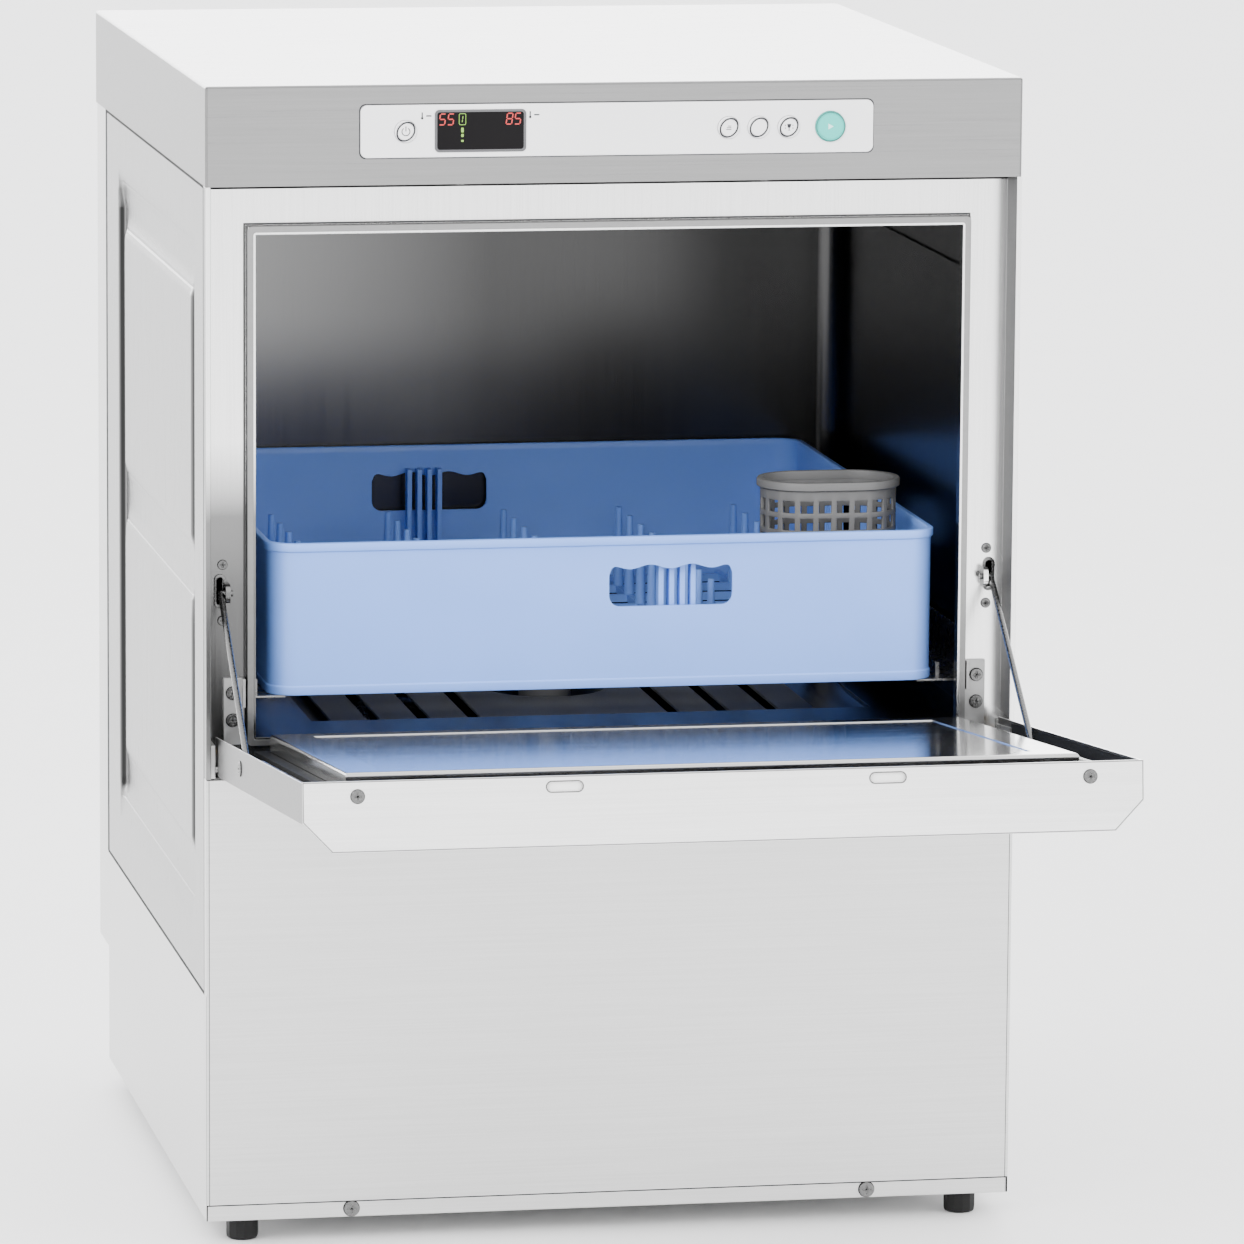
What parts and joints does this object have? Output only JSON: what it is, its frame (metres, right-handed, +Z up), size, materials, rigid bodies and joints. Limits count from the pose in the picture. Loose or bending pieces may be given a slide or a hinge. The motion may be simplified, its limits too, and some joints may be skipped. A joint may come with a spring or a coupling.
{
  "type": "glass washer machine",
  "caption": "Front-loading undercounter glass washer in brushed stainless steel with a drop-down door, a blue rack, a cutlery cup and a push-button control strip.",
  "frame": {"origin": "on the floor under the centre of the cabinet's top cover, midway between its sides and between its front and back", "axes": "+X to the right seen from the front, +Y to the back, +Z up"},
  "size_m": [0.6, 1.0536, 0.85],
  "materials": {
    "steel_cover": "fine brushed stainless sheet",
    "fascia_plastic": "satin light grey",
    "display_plastic": "gloss black",
    "board": "green laminate",
    "steel_panel": "fine brushed stainless sheet",
    "steel_inner": "bright drawn stainless",
    "steel_part": "plain stainless",
    "grey_plastic": "mid grey",
    "black_plastic": "matt black",
    "motor_alloy": "cast",
    "clear_hose": "dark hose",
    "white_plastic": "off white",
    "screw_steel": "plain",
    "black_rubber": "matt",
    "spring_steel": "zinc plated",
    "blue_plastic": "light blue",
    "button_plastic": "satin light grey",
    "start_plastic": "turquoise"
  },
  "bodies": {
    "cabinet": {"top_cover": "steel_cover", "control_fascia": "fascia_plastic", "display_window": "display_plastic", "control_board": "board", "side_panel_left": "steel_panel", "side_panel_right": "steel_panel", "base_body": "steel_panel", "lower_panel": "steel_panel", "back_panel": "steel_panel", "rear_cover": "steel_panel", "front_frame": "steel_inner", "catch_housings": "steel_part", "wash_chamber": "steel_inner", "rack_rails": "steel_part", "sump": "steel_inner", "sump_filter": "grey_plastic", "hub_lower": "grey_plastic", "hub_upper": "grey_plastic", "wash_pump": "black_plastic", "pump_motor": "motor_alloy", "wash_manifold": "clear_hose", "tank_heater": "steel_part", "rinse_boiler": "steel_part", "boiler_heater": "steel_part", "rinse_hoses": "clear_hose", "inlet_valve": "white_plastic", "drain_pump": "white_plastic", "drain_hoses": "clear_hose", "cable_gland": "black_plastic", "detergent_pump": "white_plastic", "rinse_aid_pump": "white_plastic", "pressure_switch": "white_plastic", "terminal_block": "white_plastic", "feet": "black_plastic", "cabinet_screws": "screw_steel", "hinge_brackets": "steel_part"},
    "door": {"door_outer": "steel_panel", "door_inner": "steel_inner", "door_gasket": "black_rubber", "door_pins": "steel_part", "door_screws": "screw_steel", "spring_left": "spring_steel", "spring_right": "spring_steel"},
    "rack": {"rack_shell": "blue_plastic", "rack_floor": "blue_plastic"},
    "cutlery_cup": {"cutlery_holder": "grey_plastic"},
    "stay_rod_left": {"stay_left": "spring_steel"},
    "stay_rod_right": {"stay_right": "spring_steel"},
    "latch_left": {"catch_left": "screw_steel"},
    "latch_right": {"catch_right": "screw_steel"},
    "power_key": {"power_button": "button_plastic"},
    "cycle_key_1": {"cycle_button_1": "button_plastic"},
    "cycle_key_2": {"cycle_button_2": "button_plastic"},
    "cycle_key_3": {"cycle_button_3": "button_plastic"},
    "start_key": {"start_button": "start_plastic"},
    "lower_wash": {"wash_arm_lower": "steel_part"},
    "lower_rinse": {"rinse_arm_lower": "steel_part"},
    "upper_wash": {"wash_arm_upper": "steel_part"},
    "upper_rinse": {"rinse_arm_upper": "steel_part"},
    "impeller": {"pump_impeller": "grey_plastic"}
  },
  "joints": [
    {"name": "basket_slide", "type": "slide", "parent": "cabinet", "child": "rack", "axis": [0, 1, 0], "range_m": [-0.221, 0]},
    {"name": "cutlery_lift", "type": "slide", "parent": "rack", "child": "cutlery_cup", "axis": [0, 0, 1], "range_m": [0, 0.14]},
    {"name": "door_hinge", "type": "hinge", "parent": "cabinet", "child": "door", "pos_m": [0, -0.313, 0.354], "axis": [-1, 0, 0], "range_deg": [0, 84.2], "deforming": ["spring_left", "spring_right"]},
    {"name": "stay_left_swing", "type": "hinge", "parent": "cabinet", "child": "stay_rod_left", "pos_m": [-0.2814, -0.296, 0.48], "axis": [-1, 0, 0], "range_deg": [0, 124.6]},
    {"name": "latch_ball_left", "type": "slide", "parent": "cabinet", "child": "latch_left", "axis": [0, 0, 1], "range_m": [0, 0.003], "stiffness_N_per_m": 900},
    {"name": "stay_right_swing", "type": "hinge", "parent": "cabinet", "child": "stay_rod_right", "pos_m": [0.2814, -0.296, 0.48], "axis": [-1, 0, 0], "range_deg": [0, 124.6]},
    {"name": "latch_ball_right", "type": "slide", "parent": "cabinet", "child": "latch_right", "axis": [0, 0, 1], "range_m": [0, 0.003], "stiffness_N_per_m": 900},
    {"name": "press_power", "type": "slide", "parent": "cabinet", "child": "power_key", "axis": [0, 1, 0], "range_m": [0, 0.0015], "stiffness_N_per_m": 400},
    {"name": "press_cycle_1", "type": "slide", "parent": "cabinet", "child": "cycle_key_1", "axis": [0, 1, 0], "range_m": [0, 0.0015], "stiffness_N_per_m": 400},
    {"name": "press_cycle_2", "type": "slide", "parent": "cabinet", "child": "cycle_key_2", "axis": [0, 1, 0], "range_m": [0, 0.0015], "stiffness_N_per_m": 400},
    {"name": "press_cycle_3", "type": "slide", "parent": "cabinet", "child": "cycle_key_3", "axis": [0, 1, 0], "range_m": [0, 0.0015], "stiffness_N_per_m": 400},
    {"name": "press_start", "type": "slide", "parent": "cabinet", "child": "start_key", "axis": [0, 1, 0], "range_m": [0, 0.0015], "stiffness_N_per_m": 400},
    {"name": "spin_wash_lower", "type": "hinge", "parent": "cabinet", "child": "lower_wash", "pos_m": [0, -0.032, 0.38], "axis": [0, 0, 1], "continuous": true},
    {"name": "spin_rinse_lower", "type": "hinge", "parent": "cabinet", "child": "lower_rinse", "pos_m": [0, -0.032, 0.3905], "axis": [0, 0, 1], "continuous": true},
    {"name": "spin_wash_upper", "type": "hinge", "parent": "cabinet", "child": "upper_wash", "pos_m": [0, -0.032, 0.7435], "axis": [0, 0, 1], "continuous": true},
    {"name": "spin_rinse_upper", "type": "hinge", "parent": "cabinet", "child": "upper_rinse", "pos_m": [0, -0.032, 0.7325], "axis": [0, 0, 1], "continuous": true},
    {"name": "spin_impeller", "type": "hinge", "parent": "cabinet", "child": "impeller", "pos_m": [0.07, -0.078, 0.15], "axis": [0, 1, 0], "continuous": true}
  ],
  "couplings": [
    {"joint": "stay_left_swing", "follows": "door_hinge", "ratio": 1.4788},
    {"joint": "stay_right_swing", "follows": "door_hinge", "ratio": 1.4788}
  ]
}
